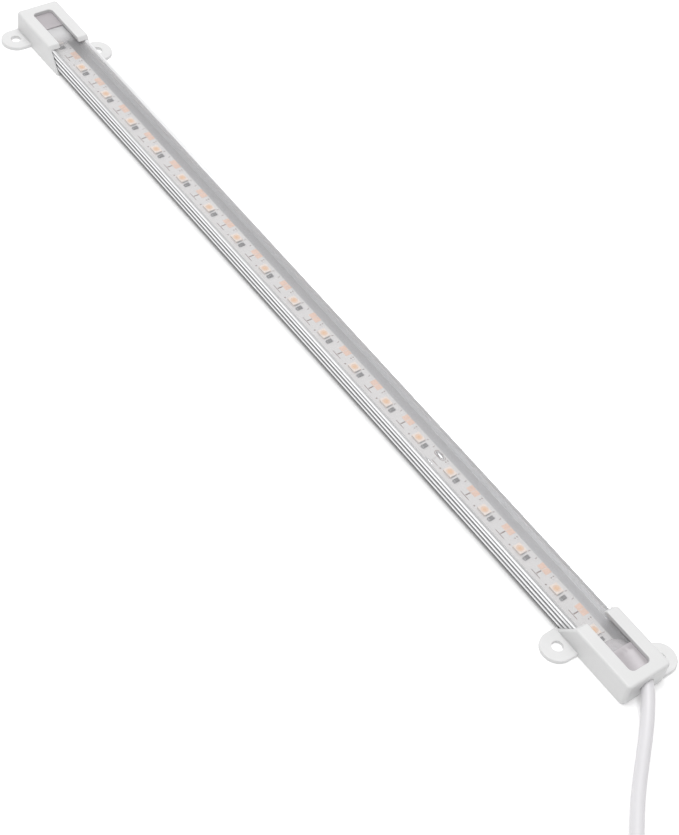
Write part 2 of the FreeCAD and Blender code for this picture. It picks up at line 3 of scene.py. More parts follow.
import bmesh
import bpy
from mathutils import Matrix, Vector


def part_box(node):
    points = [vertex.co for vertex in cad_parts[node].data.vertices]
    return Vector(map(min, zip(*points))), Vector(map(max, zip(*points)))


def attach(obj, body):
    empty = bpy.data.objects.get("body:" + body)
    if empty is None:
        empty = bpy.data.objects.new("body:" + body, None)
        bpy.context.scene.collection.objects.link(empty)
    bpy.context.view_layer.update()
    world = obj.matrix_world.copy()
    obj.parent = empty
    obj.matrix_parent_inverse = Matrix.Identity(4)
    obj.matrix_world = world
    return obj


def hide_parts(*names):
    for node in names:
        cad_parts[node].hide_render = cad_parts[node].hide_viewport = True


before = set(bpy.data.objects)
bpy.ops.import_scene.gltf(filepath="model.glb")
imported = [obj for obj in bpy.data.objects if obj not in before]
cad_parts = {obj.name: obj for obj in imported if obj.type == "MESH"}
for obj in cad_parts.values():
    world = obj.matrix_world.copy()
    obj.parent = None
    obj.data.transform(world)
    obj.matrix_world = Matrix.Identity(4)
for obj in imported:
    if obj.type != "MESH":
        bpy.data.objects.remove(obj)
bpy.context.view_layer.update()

bl_info = {
    "name": "Aquarium Light Bar",
    "version": (1, 0, 0),
    "blender": (4, 5, 0),
    "location": "3D View > Sidebar > Light Bar",
    "description": "Finishes and fine parts of a slim USB light bar for an aquarium",
    "category": "Object",
}

MM = 0.001
UNITS = 19
LED_NODES = [f"led_{unit + 1:02d}" for unit in range(UNITS)]
RESISTOR_NODES = [f"resistor_{unit + 1:02d}" for unit in range(UNITS)]
BOARD_NODES = ["light_board_long", "light_board_short"]
BOARD_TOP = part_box("light_board_long")[1].z
BOARD_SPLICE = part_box("light_board_short")[0].x
CUT_LINE_BEFORE_RESISTOR = 10.87 * MM
UNITS_BEFORE_SPLICE = 14

# Control points of the cable's line, in millimetres: from the sheath's end inside the cap to the
# coil, and from the coil to the plug.
LEAD_POINTS = [
    (157.9, 2.6, 4.3),
    (163.5, 2.2, 4.3),
    (169.0, -0.1, 4.2),
    (173.7, -4.0, 3.3),
    (178.8, -9.1, 2.4),
    (185.0, -16.3, 2.0),
    (191.1, -23.5, 2.0),
    (197.6, -30.2, 2.0),
    (204.4, -36.6, 2.0),
    (212.8, -43.1, 2.0),
    (223.0, -49.0, 2.0),
    (235.6, -53.6, 2.0),
]
TAIL_POINTS = [
    (277.5, -29.1, 5.8),
    (278.0, -17.5, 4.8),
    (274.0, -5.5, 2.3),
    (265.5, 4.6, 2.1),
    (253.2, 10.8, 3.2),
    (240.5, 11.5, 3.8),
]
COIL_CENTRE = (252.0, -30.0)
COIL_START_ANGLE = -98.8
COIL_TURNING = 1876.8
COIL_POINTS_PER_TURN = 16
# Radius and height of each turn's line, in the order in which they are wound.
COIL_TURNS = [(26.0, 2.0), (22.0, 2.0), (18.0, 2.0), (20.0, 5.46), (22.0, 8.93), (24.0, 5.46)]
# Degrees of turning at which the cable steps over to its next turn.
FIRST_STEP_OVER = 280.0
STEP_OVER_PITCH = 320.0
STEP_OVER_LENGTH = 40.0
LOWEST_LINE = 2.0
CABLE_RADIUS = 2.0
LIFT_FADES_OVER = 8.8
LIFT_HALF_ANGLE = 16.0
TIE_ANGLE = 150.0
TIE_THICKNESS = 0.8
# The turns that the tie bends round: distance from the coil's axis, height, and the angles between
# which the tie touches them.
TIE_CORNERS = [
    (18.0, 2.8, -150.0, -90.0),
    (26.0, 2.8, -90.0, 30.0),
    (22.0, 9.1, 30.0, 150.0),
    (18.0, 2.8, 150.0, 210.0),
]
TIE_CORNER_STEPS = 10
# The tie's cross section: share of its half width, and height over the turns.
TIE_SECTION = [
    (-1.0, 0.15), (-0.93, 0.0), (0.93, 0.0), (1.0, 0.15),
    (1.0, 0.65), (0.93, 0.8), (-0.93, 0.8), (-1.0, 0.65),
]
# The steps of the tie's line under its lapped end, with the lap's width as a share of the tie's.
TIE_LAP = range(23, 31)
LAP_WIDTH = 0.96
LAP_LIFT = 0.5
LAP_THINNING = 0.6

# The stage's sizes and places, in metres.
FLOOR_HALF_WIDTH = 3.0
KEY_LIGHT_SIDE = 1.8
KEY_LIGHT_PLACE = (-1.10, 1.00, 1.60)
TOP_LIGHT_SIDE = 1.6
TOP_LIGHT_PLACE = (-0.20, -0.20, 2.40)

# Where a finish changes, or where painted shade and painted light begin, in millimetres: from where
# to where it fades.
FLUTE_WALL = (7.05, 7.38)
WALL_OUTSIDE = (6.86, 6.92)
BELOW_RIM = (6.95, 7.1)
BOTTOM_SHADE_HEIGHT = (1.75, 2.1)
WALL_INSIDE = (6.4, 6.5)
FLOOR_FACE = (2.32, 2.4)
FLOOR_SHADE = (-3.0, 3.0)
# The cover's fuller body over these zones is painted light, in part along its edges.
COVER_EDGE = (5.5, 6.0)
COVER_PLAIN_END = (-153.0, -146.0)
CUP_MIDDLE = (0.25, 1.15)

# Printed marks in millimetres: along X from a resistor's middle, along Y, and radius or length.
BRACKET_HALF_LENGTH = 1.1
BRACKET_CORNER = 0.5
BRACKET_TOP = 2.65
PRINT_DOTS = [(-7.4, 2.45, 0.28), (-7.3, 1.5, 0.22), (-6.35, -1.5, 0.28)]
PRINT_BAR = (-6.4, 1.95, 1.3)
CUT_MARK_ACROSS = -1.6

# The covered tracks along the boards, in millimetres.
RAIL_PLACES = (-2.35, 2.72)
RAIL_WIDTH = 0.4
RAIL_SETBACK = 0.3
LIGHT_PAD_BEFORE = 2.7


# -------- settings


def colour(name, description, value):
    """A colour setting."""
    return bpy.props.FloatVectorProperty(
        name=name, description=description, default=value, subtype="COLOR", min=0.0, max=1.0
    )


def share(name, description, value):
    """A setting from none to full."""
    return bpy.props.FloatProperty(
        name=name, description=description, default=value, subtype="FACTOR", min=0.0, max=1.0
    )


def length(name, description, value):
    """A length setting, given in millimetres and kept in metres."""
    return bpy.props.FloatProperty(
        name=name, description=description, default=value * MM, unit="LENGTH", precision=5, min=0.0
    )


def number(name, description, value, low=0.0, high=1000.0):
    """A plain number setting."""
    return bpy.props.FloatProperty(
        name=name, description=description, default=value, min=low, max=high
    )


class ChannelSettings(bpy.types.PropertyGroup):
    metal: colour("Metal", "Colour of the satin aluminium", (0.93, 0.93, 0.94))
    # The next three colours are painted shade: in the flutes, along the bottom corners and on the
    # bare floor between the walls.
    groove_painted_shade: colour("Groove", "Colour down in the flutes", (0.27, 0.27, 0.28))
    bottom_painted_shade: colour("Underside", "Colour round the bottom corners", (0.05, 0.05, 0.05))
    floor: colour("Floor", "Colour of the bare floor beside the boards", (0.60, 0.60, 0.615))
    roughness: share("Roughness", "Roughness of the anodised face", 0.36)
    streak_width: length("Streak width", "Width of the drawing streaks", 0.12)
    streak_length: length("Streak length", "Length of the drawing streaks", 24.0)


class CoverSettings(bpy.types.PropertyGroup):
    haze: colour("Haze", "Colour of the clear plastic's slight milkiness", (0.86, 0.86, 0.87))
    body: share("Body", "How much of the light the plastic's own body returns", 0.15)
    # Edge body is partly the plastic's own milkiness and partly painted light; end body is painted
    # light over the plain cap's shade.
    edge_body_painted_light: share("Edge body", "How much of the light its long edges return", 0.5)
    end_body_painted_light: share("End body", "How much of the light its plain end returns", 0.55)
    roughness: share("Roughness", "Roughness of the extruded face", 0.16)


class BoardSettings(bpy.types.PropertyGroup):
    mask: colour("Solder mask", "Colour of the white solder mask", (0.73, 0.715, 0.715))
    ink: colour("Print", "Colour of the board's printed marks", (0.19, 0.10, 0.085))
    copper: colour("Copper", "Colour of the bare copper pads", (0.92, 0.60, 0.45))
    solder: colour("Solder", "Colour of the solder", (0.66, 0.66, 0.67))
    tape: colour("Tape", "Colour of the adhesive tape under the boards", (0.60, 0.57, 0.50))
    ink_thickness: length("Print thickness", "Thickness of the printed marks", 0.02)
    line_width: length("Line width", "Width of a printed line", 0.2)
    trace_thickness: length("Trace thickness", "Height of the covered copper tracks", 0.04)


class LedSettings(bpy.types.PropertyGroup):
    package: colour("Package", "Colour of the white package", (0.90, 0.78, 0.70))
    phosphor: colour("Phosphor", "Colour of the filling's rim", (0.88, 0.62, 0.45))
    phosphor_middle: colour("Phosphor middle", "Colour of the filling's middle", (0.90, 0.51, 0.25))
    tab_length: length("Terminal length", "How far a terminal's solder reaches out", 0.22)
    tab_width: length("Terminal width", "Width of a terminal's solder", 1.8)


class ResistorSettings(bpy.types.PropertyGroup):
    glaze: colour("Glaze", "Colour of the dark glaze", (0.075, 0.075, 0.08))
    terminal: colour("Terminal", "Colour of the tinned ends", (0.34, 0.34, 0.35))
    terminal_reach: length("Terminal reach", "How far a tinned end reaches over the chip", 0.2)
    wrap: length("Wrap", "How far a tinned end stands proud of the chip", 0.03)


class CapSettings(bpy.types.PropertyGroup):
    plastic: colour("Plastic", "Colour of the white moulding", (0.745, 0.745, 0.745))
    roughness: share("Roughness", "Roughness of the moulded face", 0.42)
    grain: length("Grain", "Size of the moulded face's fine grain", 0.35)
    sealant: colour("Sealant", "Colour of the clear sealant", (0.80, 0.755, 0.785))
    cable_reach: length("Cable end reach", "How far the sealant runs on at the cable's end", 5.2)
    plain_reach: length("Plain end reach", "How far the sealant runs on at the plain end", 5.4)
    sealant_rise: length("Sealant rise", "Height of the sealant's soft front over the board", 2.15)
    sealant_body: share("Sealant body", "How much of the light the sealant returns", 0.55)


class WireSettings(bpy.types.PropertyGroup):
    negative: colour("Negative", "Colour of the negative wire's sleeve", (0.45, 0.45, 0.46))
    positive: colour("Positive", "Colour of the positive wire's sleeve", (0.78, 0.76, 0.75))


class CableSettings(bpy.types.PropertyGroup):
    sheath: colour("Sheath", "Colour of the soft white sheath", (0.755, 0.745, 0.765))
    diameter: length("Diameter", "Diameter of the cable", 4.0)
    real_length: length("Length", "Length of the cable from the cap to the plug", 900.0)
    roughness: share("Roughness", "Roughness of the sheath", 0.38)
    strap: colour("Tie", "Colour of the tie round the coil", (0.78, 0.78, 0.79))
    strap_width: length("Tie width", "Width of the tie round the coil", 7.0)


class PlugSettings(bpy.types.PropertyGroup):
    moulding: colour("Moulding", "Colour of the plug's white moulding", (0.80, 0.80, 0.80))
    shell: colour("Shell", "Colour of the nickel-plated shell", (0.74, 0.73, 0.71))
    tongue: colour("Tongue", "Colour of the tongue inside the shell", (0.85, 0.85, 0.85))
    contact: colour("Contact", "Colour of the gilt contacts", (0.90, 0.62, 0.24))


class StageSettings(bpy.types.PropertyGroup):
    floor: colour("Floor", "Colour of the pale floor", (0.97, 0.97, 0.97))
    glow: share("Floor glow", "Light that the light table gives off itself", 0.13)
    sky: number("Sky", "Strength of the even light from all round", 0.44)
    key: number("Key light", "Power of the large light beyond the bar's plain end", 6.0)
    top: number("Top light", "Power of the large light above the bar", 41.0)
    camera_place: bpy.props.FloatVectorProperty(
        name="Camera place", description="Where the camera stands", subtype="TRANSLATION",
        unit="LENGTH", default=(0.29288, -0.27054, 0.40236),
    )
    camera_turn: bpy.props.FloatVectorProperty(
        name="Camera turn", description="How the camera is turned", subtype="EULER",
        default=(0.714372, -0.141245, 0.936202),
    )
    lens: number("Lens", "Focal length in millimetres on a 36 mm sensor", 74.66)
    shift: number("Shift", "Sideways shift of the lens", 0.0032, -0.1, 0.1)


SETTINGS = {
    "light_bar_channel": ChannelSettings,
    "light_bar_cover": CoverSettings,
    "light_bar_board": BoardSettings,
    "light_bar_led": LedSettings,
    "light_bar_resistor": ResistorSettings,
    "light_bar_cap": CapSettings,
    "light_bar_wire": WireSettings,
    "light_bar_cable": CableSettings,
    "light_bar_plug": PlugSettings,
    "light_bar_stage": StageSettings,
}


# -------- node groups shared by materials


def add_node(tree, kind, **inputs):
    """A new node with the values of its input sockets, by name."""
    node = tree.nodes.new(kind)
    for name, value in inputs.items():
        node.inputs[name.replace("_", " ")].default_value = value
    return node


def maths(tree, operation, first, second):
    """A maths node of two values, each a socket or a number."""
    node = tree.nodes.new("ShaderNodeMath")
    node.operation = operation
    for slot, value in enumerate((first, second)):
        if isinstance(value, bpy.types.NodeSocket):
            tree.links.new(value, node.inputs[slot])
        else:
            node.inputs[slot].default_value = value
    return node.outputs[0]


def map_range(tree, value, low, high, to_low, to_high, smooth=False):
    """A value mapped from one range to another."""
    node = tree.nodes.new("ShaderNodeMapRange")
    if smooth:
        node.interpolation_type = "SMOOTHSTEP"
    tree.links.new(value, node.inputs["Value"])
    names = ("From Min", "From Max", "To Min", "To Max")
    for name, limit in zip(names, (low, high, to_low, to_high)):
        if isinstance(limit, bpy.types.NodeSocket):
            tree.links.new(limit, node.inputs[name])
        else:
            node.inputs[name].default_value = limit
    return node.outputs["Result"]


def fade(tree, value, zone, start, end, smooth=False):
    """A value that fades from one share to another over a zone given in millimetres."""
    return map_range(tree, value, zone[0] * MM, zone[1] * MM, start, end, smooth)


def mix_colours(tree, factor, first, second):
    """A mix of two colours, each a socket or a colour."""
    node = tree.nodes.new("ShaderNodeMix")
    node.data_type = "RGBA"
    for key, value in ((0, factor), (6, first), (7, second)):
        if isinstance(value, bpy.types.NodeSocket):
            tree.links.new(value, node.inputs[key])
        elif key:
            node.inputs[key].default_value = (*value[:3], 1.0)
        else:
            node.inputs[key].default_value = value
    return node.outputs[2]


def scaled_colour(tree, tint, factor):
    """A colour, a socket or three numbers, made darker or lighter by a factor."""
    node = tree.nodes.new("ShaderNodeVectorMath")
    node.operation = "SCALE"
    if isinstance(tint, bpy.types.NodeSocket):
        tree.links.new(tint, node.inputs[0])
    else:
        node.inputs[0].default_value = tint[:3]
    tree.links.new(factor, node.inputs["Scale"])
    return node.outputs[0]


def object_place(tree):
    """The surface's place in the light's own frame, as one socket."""
    return tree.nodes.new("ShaderNodeTexCoord").outputs["Object"]


def place_axes(tree):
    """The surface's place in the light's own frame, as X, Y and Z."""
    node = tree.nodes.new("ShaderNodeSeparateXYZ")
    tree.links.new(object_place(tree), node.inputs[0])
    return node.outputs


def scaled_place(tree, scale):
    """The surface's place times a scale, which is a socket or three numbers."""
    place = object_place(tree)
    node = tree.nodes.new("ShaderNodeVectorMath")
    node.operation = "MULTIPLY"
    tree.links.new(place, node.inputs[0])
    if isinstance(scale, bpy.types.NodeSocket):
        tree.links.new(scale, node.inputs[1])
    else:
        node.inputs[1].default_value = scale
    return node.outputs[0]


def noise(tree, place, detail, roughness=0.5):
    """Soft noise over a place that is already scaled."""
    node = add_node(tree, "ShaderNodeTexNoise", Scale=1.0, Detail=detail, Roughness=roughness)
    tree.links.new(place, node.inputs["Vector"])
    return node.outputs["Fac"]


def effect_group(name, inputs, outputs):
    """An empty node group with named sockets, its input node and its output node."""
    tree = bpy.data.node_groups.new(name, "ShaderNodeTree")
    for label, kind, default in inputs:
        kind = f"NodeSocket{kind}"
        socket = tree.interface.new_socket(name=label, in_out="INPUT", socket_type=kind)
        socket.default_value = default
    for label, kind in outputs:
        tree.interface.new_socket(name=label, in_out="OUTPUT", socket_type=f"NodeSocket{kind}")
    given = tree.nodes.new("NodeGroupInput").outputs
    result = tree.nodes.new("NodeGroupOutput").inputs
    return tree, given, result


FACE_OUTPUTS = [("Colour", "Color"), ("Roughness", "Float"), ("Height", "Float")]


def moulded_grain():
    """The fine grain, cloudy colour and uneven gloss of a moulded or coated face."""
    name = "Moulded grain"
    if name in bpy.data.node_groups:
        return bpy.data.node_groups[name]
    tree, given, result = effect_group(
        name,
        [
            ("Colour", "Color", (0.8, 0.8, 0.8, 1.0)),
            ("Grain Size", "Float", 0.0004),
            ("Cloud Size", "Float", 0.012),
            ("Colour Variation", "Float", 0.03),
            ("Roughness", "Float", 0.4),
            ("Roughness Variation", "Float", 0.1),
        ],
        FACE_OUTPUTS,
    )
    grain_scale = maths(tree, "DIVIDE", 1.0, given["Grain Size"])
    cloud_scale = maths(tree, "DIVIDE", 1.0, given["Cloud Size"])
    grain = noise(tree, scaled_place(tree, grain_scale), 3.0, 0.6)
    cloud = noise(tree, scaled_place(tree, cloud_scale), 5.0)
    low = maths(tree, "SUBTRACT", 1.0, given["Colour Variation"])
    shade = map_range(tree, cloud, 0.25, 0.75, low, 1.0)
    rough = given["Roughness"]
    for pattern in (cloud, grain):
        uneven = maths(tree, "SUBTRACT", pattern, 0.5)
        uneven = maths(tree, "MULTIPLY", uneven, given["Roughness Variation"])
        rough = maths(tree, "ADD", rough, uneven)
    tree.links.new(scaled_colour(tree, given["Colour"], shade), result["Colour"])
    tree.links.new(rough, result["Roughness"])
    tree.links.new(grain, result["Height"])
    return tree


def drawn_streaks():
    """The long streaks that drawing or rolling leaves in metal, along X."""
    name = "Drawn streaks"
    if name in bpy.data.node_groups:
        return bpy.data.node_groups[name]
    tree, given, result = effect_group(
        name,
        [
            ("Colour", "Color", (0.8, 0.8, 0.8, 1.0)),
            ("Streak Width", "Float", 0.0002),
            ("Streak Length", "Float", 0.02),
            ("Colour Variation", "Float", 0.08),
            ("Roughness", "Float", 0.35),
            ("Roughness Variation", "Float", 0.15),
        ],
        FACE_OUTPUTS,
    )
    scale = tree.nodes.new("ShaderNodeCombineXYZ")
    tree.links.new(maths(tree, "DIVIDE", 1.0, given["Streak Length"]), scale.inputs["X"])
    for axis in ("Y", "Z"):
        tree.links.new(maths(tree, "DIVIDE", 1.0, given["Streak Width"]), scale.inputs[axis])
    streak = noise(tree, scaled_place(tree, scale.outputs[0]), 4.0, 0.65)
    low = maths(tree, "SUBTRACT", 1.0, given["Colour Variation"])
    shade = map_range(tree, streak, 0.3, 0.7, low, 1.0)
    uneven = maths(tree, "SUBTRACT", streak, 0.5)
    uneven = maths(tree, "MULTIPLY", uneven, given["Roughness Variation"])
    tree.links.new(scaled_colour(tree, given["Colour"], shade), result["Colour"])
    tree.links.new(maths(tree, "ADD", given["Roughness"], uneven), result["Roughness"])
    tree.links.new(streak, result["Height"])
    return tree


def dust_specks():
    """A sparse mask of dust specks and faint handling marks."""
    name = "Dust specks"
    if name in bpy.data.node_groups:
        return bpy.data.node_groups[name]
    tree, given, result = effect_group(
        name,
        [("Speck Size", "Float", 0.0002), ("Spacing", "Float", 0.003), ("Amount", "Float", 0.5)],
        [("Mask", "Float")],
    )
    spacing = maths(tree, "DIVIDE", 1.0, given["Spacing"])
    cells = add_node(tree, "ShaderNodeTexVoronoi", Scale=1.0, Randomness=1.0)
    tree.links.new(scaled_place(tree, spacing), cells.inputs["Vector"])
    reach = maths(tree, "DIVIDE", given["Speck Size"], given["Spacing"])
    half_reach = maths(tree, "MULTIPLY", reach, 0.5)
    speck = map_range(tree, cells.outputs["Distance"], half_reach, reach, 1.0, 0.0)
    patches = noise(tree, scaled_place(tree, (60.0, 60.0, 60.0)), 3.0)
    where = map_range(tree, patches, 0.45, 0.62, 0.0, 1.0)
    mask = maths(tree, "MULTIPLY", maths(tree, "MULTIPLY", speck, where), given["Amount"])
    tree.links.new(mask, result["Mask"])
    return tree


# -------- materials


def new_material(name, metallic=0.0, ior=1.5):
    """A material with its tree and its Principled shader."""
    material = bpy.data.materials.new(name)
    material.use_nodes = True
    shader = material.node_tree.nodes["Principled BSDF"]
    shader.inputs["Metallic"].default_value = metallic
    shader.inputs["IOR"].default_value = ior
    return material, material.node_tree, shader


def place_group(tree, group, **inputs):
    """A node group placed in a material with its own values."""
    node = tree.nodes.new("ShaderNodeGroup")
    node.node_tree = group
    for name, value in inputs.items():
        label = name.replace("_", " ")
        is_colour = node.inputs[label].type == "RGBA"
        node.inputs[label].default_value = (*value[:3], 1.0) if is_colour else value
    return node.outputs


def add_bump(tree, shader, height, distance):
    """A relief of the given depth on the shader's normal."""
    node = add_node(tree, "ShaderNodeBump", Strength=1.0, Distance=distance)
    tree.links.new(height, node.inputs["Height"])
    tree.links.new(node.outputs["Normal"], shader.inputs["Normal"])


def apply_face(tree, shader, tint, face, depth):
    """A face's colour, roughness and relief, fed to the shader."""
    tree.links.new(tint, shader.inputs["Base Color"])
    tree.links.new(face["Roughness"], shader.inputs["Roughness"])
    add_bump(tree, shader, face["Height"], depth)


def moulded_material(name, tint, roughness, grain=0.4 * MM, cloud=12 * MM, variation=0.035,
                     depth=0.012 * MM, dust=0.25, metallic=0.0):
    """Moulded plastic, ceramic, ink or a matt coating: fine grain, clouds and a little dust."""
    material, tree, shader = new_material(name, metallic)
    face = place_group(
        tree, moulded_grain(), Colour=tint, Grain_Size=grain, Cloud_Size=cloud,
        Colour_Variation=variation, Roughness=roughness, Roughness_Variation=0.12,
    )
    specks = place_group(tree, dust_specks(), Speck_Size=0.12 * MM, Spacing=2.2 * MM, Amount=dust)
    dusty = mix_colours(tree, specks["Mask"], face["Colour"], (0.55, 0.54, 0.52))
    apply_face(tree, shader, dusty, face, depth)
    return material


def metal_material(name, tint, roughness, streak_width=0.15 * MM, streak_length=20 * MM,
                   depth=0.004 * MM):
    """Drawn, rolled or plated metal."""
    material, tree, shader = new_material(name, 1.0)
    face = place_group(
        tree, drawn_streaks(), Colour=tint, Streak_Width=streak_width, Streak_Length=streak_length,
        Colour_Variation=0.1, Roughness=roughness, Roughness_Variation=0.18,
    )
    apply_face(tree, shader, face["Colour"], face, depth)
    return material


def clear_material(name, tint, body, roughness, grain, depth, ior=1.9):
    """Clear plastic or silicone: seen through, with a milky body and a gloss of its own.

    Its body is a value all over, or a function that gives a socket from the material's tree.
    """
    material, tree, shader = new_material(name, 0.0, ior)
    face = place_group(
        tree, moulded_grain(), Colour=tint, Grain_Size=grain, Cloud_Size=20 * MM,
        Colour_Variation=0.04, Roughness=roughness, Roughness_Variation=0.1,
    )
    specks = place_group(tree, dust_specks(), Speck_Size=0.1 * MM, Spacing=3.0 * MM, Amount=0.35)
    alpha = maths(tree, "ADD", specks["Mask"], body(tree) if callable(body) else body)
    apply_face(tree, shader, face["Colour"], face, depth)
    tree.links.new(alpha, shader.inputs["Alpha"])
    return material


def cover_body(settings):
    """The cover's milkiness: thin over its middle, and full along its edges and plain end. Along
    the edges the extra body is partly the plastic's own milkiness and partly painted light over the
    shaded inner walls; at the plain end it is painted light over the cap's shade.
    """
    def body(tree):
        place = place_axes(tree)
        side = maths(tree, "ABSOLUTE", place["Y"], 0.0)
        edge = fade(tree, side, COVER_EDGE, settings.body, settings.edge_body_painted_light)
        end = fade(tree, place["X"], COVER_PLAIN_END, settings.end_body_painted_light, settings.body, smooth=True)
        return maths(tree, "MAXIMUM", edge, end)
    return body


def channel_material(settings):
    """Satin anodised aluminium, with painted shade in the flutes, round the bottom corners and on
    its floor.
    """
    material, tree, shader = new_material("satin_aluminium", 1.0)
    face = place_group(
        tree, drawn_streaks(), Colour=settings.metal, Streak_Width=settings.streak_width,
        Streak_Length=settings.streak_length, Colour_Variation=0.09,
        Roughness=settings.roughness, Roughness_Variation=0.16,
    )
    place = place_axes(tree)
    side = maths(tree, "ABSOLUTE", place["Y"], 0.0)
    height = place["Z"]
    # Painted shade in the flutes: sunk below the outer face, outside the wall's middle, and not on
    # the rim.
    flute_shade = fade(tree, side, FLUTE_WALL, 1.0, 0.0)
    outer = fade(tree, side, WALL_OUTSIDE, 0.0, 1.0)
    below_rim = fade(tree, height, BELOW_RIM, 1.0, 0.0)
    groove_painted_shade = maths(tree, "MULTIPLY", maths(tree, "MULTIPLY", flute_shade, outer), below_rim)
    # Painted shade along the bottom corners, where the bar meets the floor.
    low = fade(tree, height, BOTTOM_SHADE_HEIGHT, 1.0, 0.0)
    # Painted shade on the bare floor inside the walls, darker towards the +Y wall.
    inside = fade(tree, side, WALL_INSIDE, 1.0, 0.0)
    near_floor = fade(tree, height, FLOOR_FACE, 1.0, 0.0)
    floor_shade_across = fade(tree, place["Y"], FLOOR_SHADE, 0.35, 1.0)
    floor_painted_shade = maths(tree, "MULTIPLY", inside, maths(tree, "MULTIPLY", near_floor, floor_shade_across))
    metal = mix_colours(tree, groove_painted_shade, face["Colour"], settings.groove_painted_shade)
    metal = mix_colours(tree, low, metal, settings.bottom_painted_shade)
    metal = mix_colours(tree, floor_painted_shade, metal, settings.floor)
    apply_face(tree, shader, metal, face, 0.004 * MM)
    return material


def phosphor_material(settings):
    """The silicone and phosphor filling: peach, and a deeper orange in the middle of each cup."""
    material, tree, shader = new_material("phosphor_filling", 0.0, 1.45)
    place = place_axes(tree)
    first, second = middle_of(LED_NODES[0]), middle_of(LED_NODES[1])
    pitch = second.x - first.x
    beyond = middle_of(LED_NODES[UNITS_BEFORE_SPLICE]).x
    shortening = first.x + UNITS_BEFORE_SPLICE * pitch - beyond
    past_splice = maths(tree, "GREATER_THAN", place["X"], BOARD_SPLICE)
    along = maths(tree, "ADD", place["X"], maths(tree, "MULTIPLY", past_splice, shortening))
    along = maths(tree, "MODULO", maths(tree, "SUBTRACT", along, first.x - pitch / 2), pitch)
    along = maths(tree, "SUBTRACT", along, pitch / 2)
    across = maths(tree, "SUBTRACT", place["Y"], first.y)
    squares = [maths(tree, "POWER", distance, 2.0) for distance in (along, across)]
    from_middle = maths(tree, "POWER", maths(tree, "ADD", *squares), 0.5)
    middle = fade(tree, from_middle, CUP_MIDDLE, 1.0, 0.0, smooth=True)
    tint = mix_colours(tree, middle, settings.phosphor, settings.phosphor_middle)
    grains = noise(tree, scaled_place(tree, (9000.0, 9000.0, 9000.0)), 4.0)
    speckle = map_range(tree, grains, 0.3, 0.7, 0.9, 1.0)
    tree.links.new(scaled_colour(tree, tint, speckle), shader.inputs["Base Color"])
    tree.links.new(map_range(tree, grains, 0.3, 0.7, 0.3, 0.5), shader.inputs["Roughness"])
    add_bump(tree, shader, grains, 0.01 * MM)
    return material


def woven_material(name, tint):
    """The close loops of a soft woven tie, with painted shade between the loops."""
    material, tree, shader = new_material(name)
    loops = add_node(tree, "ShaderNodeTexVoronoi", Scale=1.0, Randomness=0.6)
    tree.links.new(scaled_place(tree, (3200.0, 3200.0, 3200.0)), loops.inputs["Vector"])
    depth = loops.outputs["Distance"]
    # Painted shade: darker away from each loop's middle.
    shade = map_range(tree, depth, 0.1, 0.7, 1.0, 0.72)
    tree.links.new(scaled_colour(tree, tint, shade), shader.inputs["Base Color"])
    tree.links.new(map_range(tree, depth, 0.0, 0.8, 0.7, 0.9), shader.inputs["Roughness"])
    add_bump(tree, shader, depth, 0.08 * MM)
    return material


def finish_nodes(names, material):
    """Give CAD nodes a finish."""
    for name in names:
        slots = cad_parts[name].data.materials
        slots.clear()
        slots.append(material)


# -------- small meshes


def new_object(name, data):
    """An object in the scene that shows the given data."""
    piece = bpy.data.objects.new(name, data)
    bpy.context.scene.collection.objects.link(piece)
    return piece


def new_piece(name, mesh, material, bevel=0.0):
    """A mesh as a piece of the light, with softened edges where a bevel is given."""
    data = bpy.data.meshes.new(name)
    mesh.to_mesh(data)
    mesh.free()
    piece = new_object(name, data)
    data.materials.append(material)
    if bevel:
        rounding = piece.modifiers.new("Soft edges", "BEVEL")
        rounding.width = bevel
        rounding.segments = 2
        rounding.limit_method = "ANGLE"
    data.shade_smooth()
    data.set_sharp_from_angle(angle=math.radians(35))
    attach(piece, "root")
    return piece


def prism(mesh, points, low, high):
    """A flat outline raised from one height to another."""
    bottom = [mesh.verts.new((x, y, low)) for x, y in points]
    top = [mesh.verts.new((x, y, high)) for x, y in points]
    mesh.faces.new(list(reversed(bottom)))
    mesh.faces.new(top)
    for i in range(len(points)):
        j = (i + 1) % len(points)
        mesh.faces.new((bottom[i], bottom[j], top[j], top[i]))


def slab(mesh, x, y, long, wide, low, high):
    """A block by its middle, its sizes and its heights."""
    prism(mesh, [
        (x - long / 2, y - wide / 2), (x + long / 2, y - wide / 2),
        (x + long / 2, y + wide / 2), (x - long / 2, y + wide / 2),
    ], low, high)


def disc(mesh, x, y, radius, low, high, sides=16):
    """A flat dot."""
    angles = [2 * math.pi * i / sides for i in range(sides)]
    prism(mesh, [(x + radius * math.cos(a), y + radius * math.sin(a)) for a in angles], low, high)


def arc_strip(mesh, x, y, radius, wide, start, end, low, high, steps=8):
    """A strip along an arc, its angles in degrees."""
    angles = [math.radians(start + (end - start) * i / steps) for i in range(steps + 1)]
    outer, inner = [
        [(x + reach * math.cos(angle), y + reach * math.sin(angle)) for angle in angles]
        for reach in (radius + wide / 2, radius - wide / 2)
    ]
    prism(mesh, outer + inner[::-1], low, high)


def middle_of(node):
    """The middle of a CAD node."""
    low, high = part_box(node)
    return (low + high) / 2


def wedge(mesh, x, y, reach, wide, low, high, side):
    """A fillet of solder against an upright face, thick at the face and thin at its toe."""
    profile = [(0.0, low), (reach, low), (reach * 0.45, low + (high - low) * 0.38), (0.0, high)]
    ends = []
    for across in (-wide / 2, wide / 2):
        ends.append([mesh.verts.new((x + side * out, y + across, z)) for out, z in profile])
    first, second = ends
    mesh.faces.new(first if side > 0 else first[::-1])
    mesh.faces.new(second[::-1] if side > 0 else second)
    for i in range(len(profile)):
        j = (i + 1) % len(profile)
        face = (first[j], first[i], second[i], second[j])
        mesh.faces.new(face if side > 0 else face[::-1])


